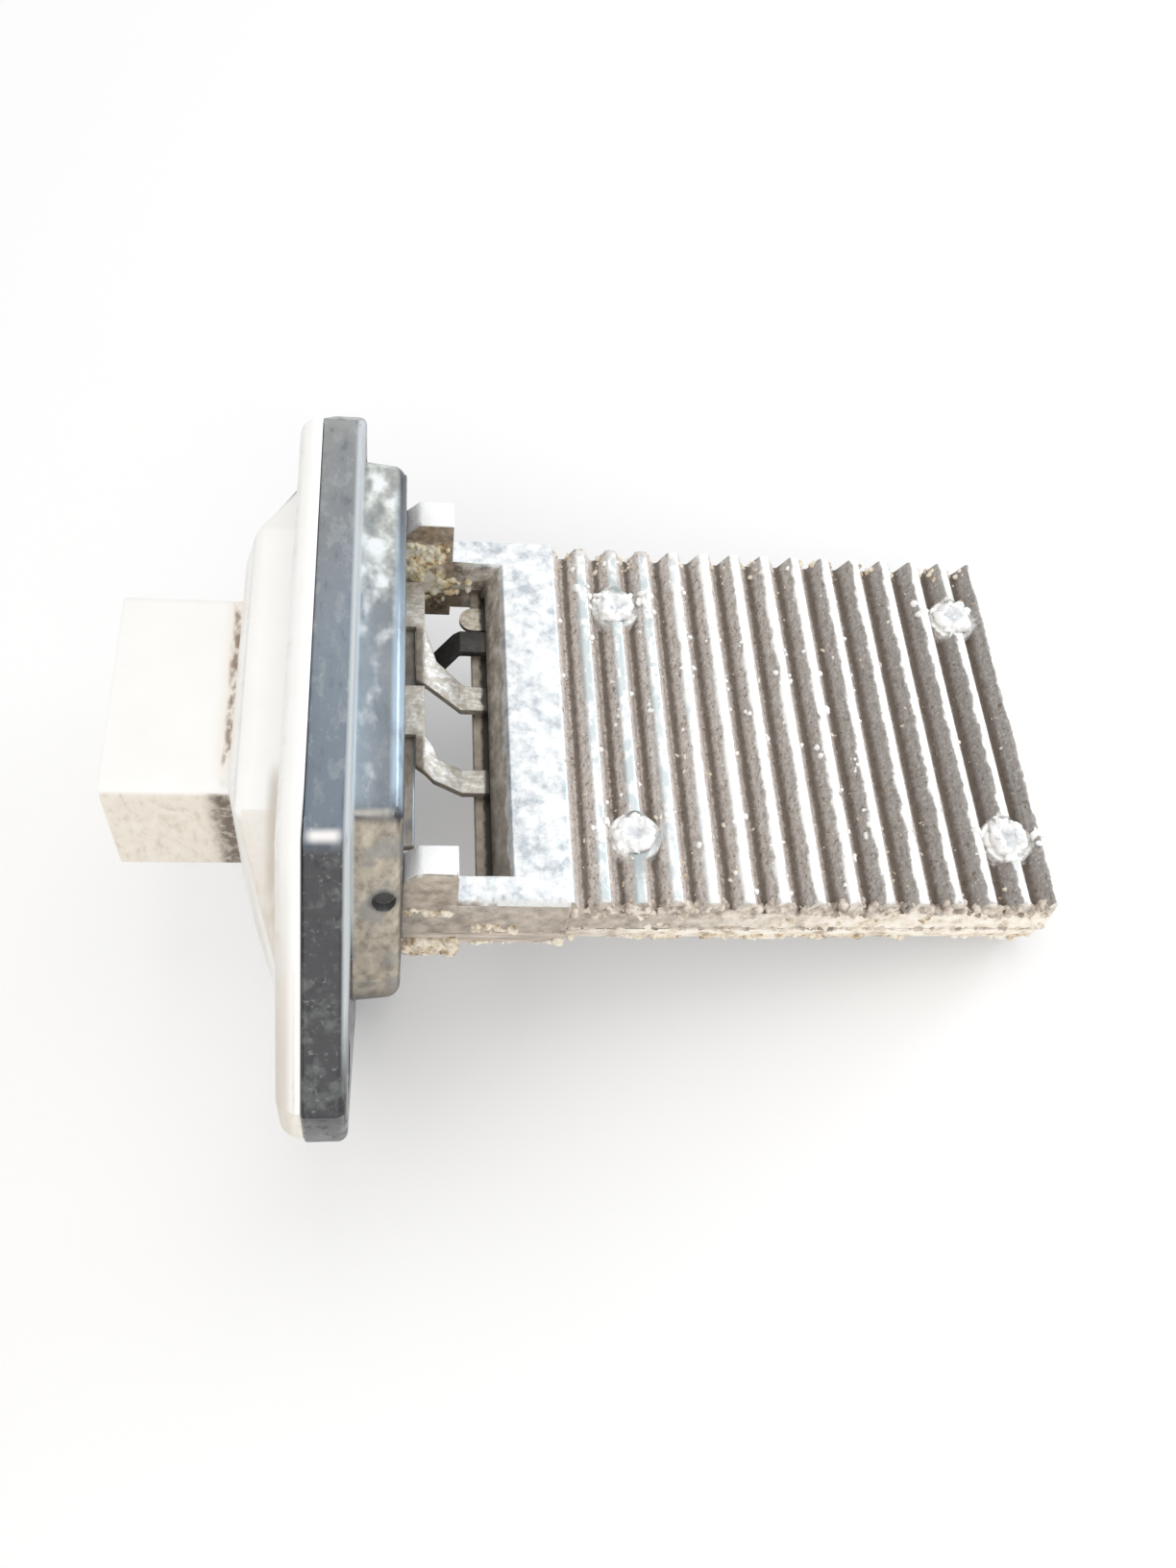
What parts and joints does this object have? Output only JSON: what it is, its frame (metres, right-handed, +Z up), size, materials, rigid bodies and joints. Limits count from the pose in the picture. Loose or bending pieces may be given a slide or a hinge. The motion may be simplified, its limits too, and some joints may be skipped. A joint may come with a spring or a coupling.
{
  "type": "blower motor resistor",
  "caption": "Plug-in heater blower resistor: plastic connector flange and collar carrying a riveted, ribbed cast aluminium heat sink on two arms, with bare leads in a window.",
  "frame": {"origin": "middle of the flange face that seats on the duct, half way between the two screw holes", "axes": "+X into the duct towards the heat sink's far end, +Y along the ribs away from the viewer of the picture, +Z up out of the ribbed face"},
  "size_m": [0.1059, 0.0944, 0.0464],
  "materials": {
    "cream_plastic": "aged cream moulding, dirt in the corners",
    "dark_plastic": "dark glossy moulding under dust",
    "cast_upper": "die cast, worn bright on the ribs, dirty and corroded in the grooves",
    "cast_lower": "die cast, crusted edge",
    "mica": "pale sheet",
    "element_sheet": "dull stamped sheet",
    "rivet_metal": "staked, bright",
    "lead_strip": "grey tinned strip, tarnished",
    "lead_dark": "blackened"
  },
  "bodies": {
    "root": {"connector_housing": "cream_plastic", "mounting_flange": "dark_plastic", "upper_heat_sink": "cast_upper", "lower_heat_sink": "cast_lower", "upper_insulator": "mica", "lower_insulator": "mica", "resistor_element": "element_sheet", "rivets": "rivet_metal", "far_lead": "lead_strip", "middle_lead": "lead_strip", "lower_lead": "lead_dark"}
  },
  "joints": []
}
